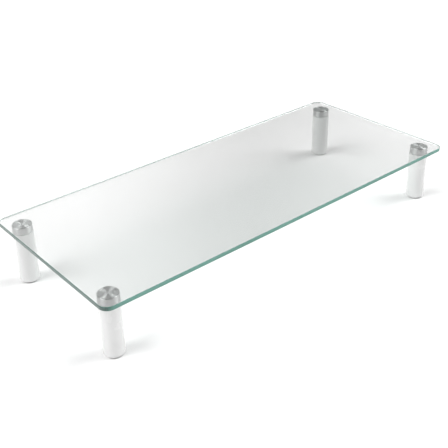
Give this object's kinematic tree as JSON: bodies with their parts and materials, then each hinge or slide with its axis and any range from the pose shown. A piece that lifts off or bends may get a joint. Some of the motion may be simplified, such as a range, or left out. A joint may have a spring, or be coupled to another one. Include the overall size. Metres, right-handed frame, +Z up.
{
  "type": "monitor riser stand",
  "caption": "Low rectangular glass shelf on round white screw-on legs, with steel discs bonded under its corners, that lifts a monitor above a desk.",
  "frame": {"origin": "centre of the footprint, on the desk surface", "axes": "+X along the length of the shelf, +Y towards the back, +Z up"},
  "size_m": [0.56, 0.24, 0.08],
  "materials": {
    "glass": "clear tempered float glass with polished green edges",
    "bond": "clear cured adhesive film",
    "disc_steel": "turned, fine circular grain",
    "washer": "satin white nylon",
    "leg_enamel": "gloss white enamel",
    "insert": "natural moulded nylon",
    "screw_steel": "zinc plated, rolled thread",
    "plug": "white moulded plastic",
    "pad": "soft milky non-slip rubber"
  },
  "bodies": {
    "shelf": {"glass_top": "glass", "bond_film_front_left": "bond", "mounting_disc_front_left": "disc_steel", "bond_film_front_right": "bond", "mounting_disc_front_right": "disc_steel", "bond_film_rear_left": "bond", "mounting_disc_rear_left": "disc_steel", "bond_film_rear_right": "bond", "mounting_disc_rear_right": "disc_steel"},
    "washer_front_left": {"leg_washer_front_left": "washer"},
    "leg_front_left": {"leg_tube_front_left": "leg_enamel", "threaded_insert_front_left": "insert", "leg_screw_front_left": "screw_steel", "end_plug_front_left": "plug", "foot_pad_front_left": "pad"},
    "washer_front_right": {"leg_washer_front_right": "washer"},
    "leg_front_right": {"leg_tube_front_right": "leg_enamel", "threaded_insert_front_right": "insert", "leg_screw_front_right": "screw_steel", "end_plug_front_right": "plug", "foot_pad_front_right": "pad"},
    "washer_rear_left": {"leg_washer_rear_left": "washer"},
    "leg_rear_left": {"leg_tube_rear_left": "leg_enamel", "threaded_insert_rear_left": "insert", "leg_screw_rear_left": "screw_steel", "end_plug_rear_left": "plug", "foot_pad_rear_left": "pad"},
    "washer_rear_right": {"leg_washer_rear_right": "washer"},
    "leg_rear_right": {"leg_tube_rear_right": "leg_enamel", "threaded_insert_rear_right": "insert", "leg_screw_rear_right": "screw_steel", "end_plug_rear_right": "plug", "foot_pad_rear_right": "pad"}
  },
  "joints": [
    {"name": "leg_drop_front_left", "type": "slide", "parent": "shelf", "child": "washer_front_left", "axis": [0, 0, -1], "range_m": [0, 0.0075]},
    {"name": "leg_unscrew_front_left", "type": "hinge", "parent": "washer_front_left", "child": "leg_front_left", "pos_m": [-0.259, -0.094, 0.0655], "axis": [0, 0, -1], "range_deg": [0, 2160]},
    {"name": "leg_drop_front_right", "type": "slide", "parent": "shelf", "child": "washer_front_right", "axis": [0, 0, -1], "range_m": [0, 0.0075]},
    {"name": "leg_unscrew_front_right", "type": "hinge", "parent": "washer_front_right", "child": "leg_front_right", "pos_m": [0.259, -0.094, 0.0655], "axis": [0, 0, -1], "range_deg": [0, 2160]},
    {"name": "leg_drop_rear_left", "type": "slide", "parent": "shelf", "child": "washer_rear_left", "axis": [0, 0, -1], "range_m": [0, 0.0075]},
    {"name": "leg_unscrew_rear_left", "type": "hinge", "parent": "washer_rear_left", "child": "leg_rear_left", "pos_m": [-0.259, 0.094, 0.0655], "axis": [0, 0, -1], "range_deg": [0, 2160]},
    {"name": "leg_drop_rear_right", "type": "slide", "parent": "shelf", "child": "washer_rear_right", "axis": [0, 0, -1], "range_m": [0, 0.0075]},
    {"name": "leg_unscrew_rear_right", "type": "hinge", "parent": "washer_rear_right", "child": "leg_rear_right", "pos_m": [0.259, 0.094, 0.0655], "axis": [0, 0, -1], "range_deg": [0, 2160]}
  ],
  "couplings": [
    {"joint": "leg_drop_front_left", "follows": "leg_unscrew_front_left", "m_per_rad": 0.00019894},
    {"joint": "leg_drop_front_right", "follows": "leg_unscrew_front_right", "m_per_rad": 0.00019894},
    {"joint": "leg_drop_rear_left", "follows": "leg_unscrew_rear_left", "m_per_rad": 0.00019894},
    {"joint": "leg_drop_rear_right", "follows": "leg_unscrew_rear_right", "m_per_rad": 0.00019894}
  ]
}
